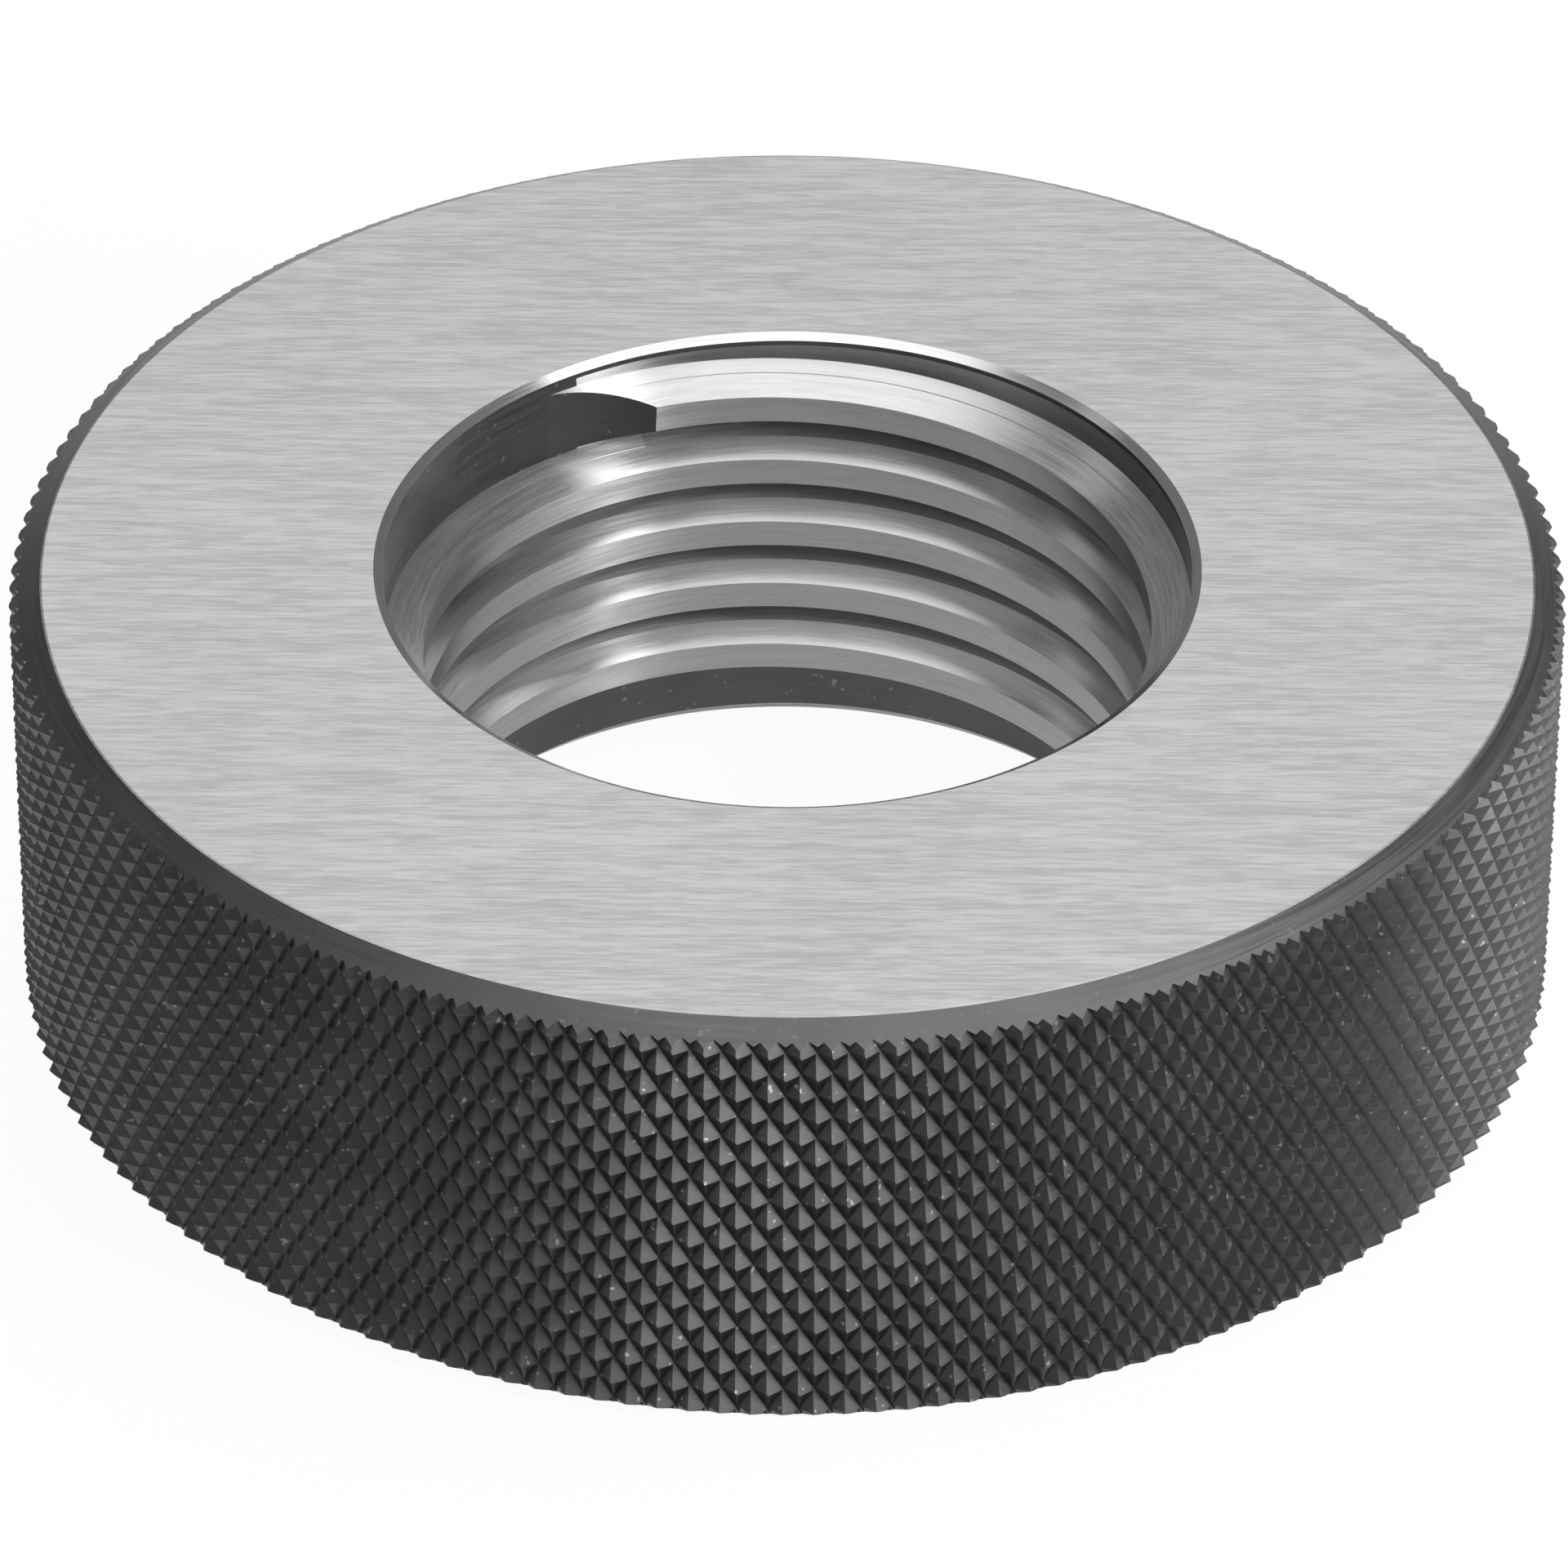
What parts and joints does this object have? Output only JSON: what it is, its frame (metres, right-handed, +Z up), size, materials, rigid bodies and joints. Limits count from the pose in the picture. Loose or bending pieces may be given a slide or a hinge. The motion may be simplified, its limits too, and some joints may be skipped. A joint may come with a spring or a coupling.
{
  "type": "thread ring gauge",
  "caption": "Thick steel ring with a knurled rim and a right-hand internal thread of true form, screwed by hand onto a threaded shaft to test its thread",
  "frame": {"origin": "the centre of the lower face, on the axis of the thread", "axes": "+Z runs up the axis of the thread, from the lower face to the upper one; +X and +Y lie in the lower face, and the full ridge of the thread begins 112 degrees anticlockwise from +X at the upper mouth"},
  "size_m": [0.1, 0.1, 0.031],
  "materials": {
    "gauge_steel": "ground bright on both faces and on the thread, black oxide on the knurled rim and the edge chamfers"
  },
  "bodies": {
    "root": {"gauge_ring": "gauge_steel"}
  },
  "joints": []
}
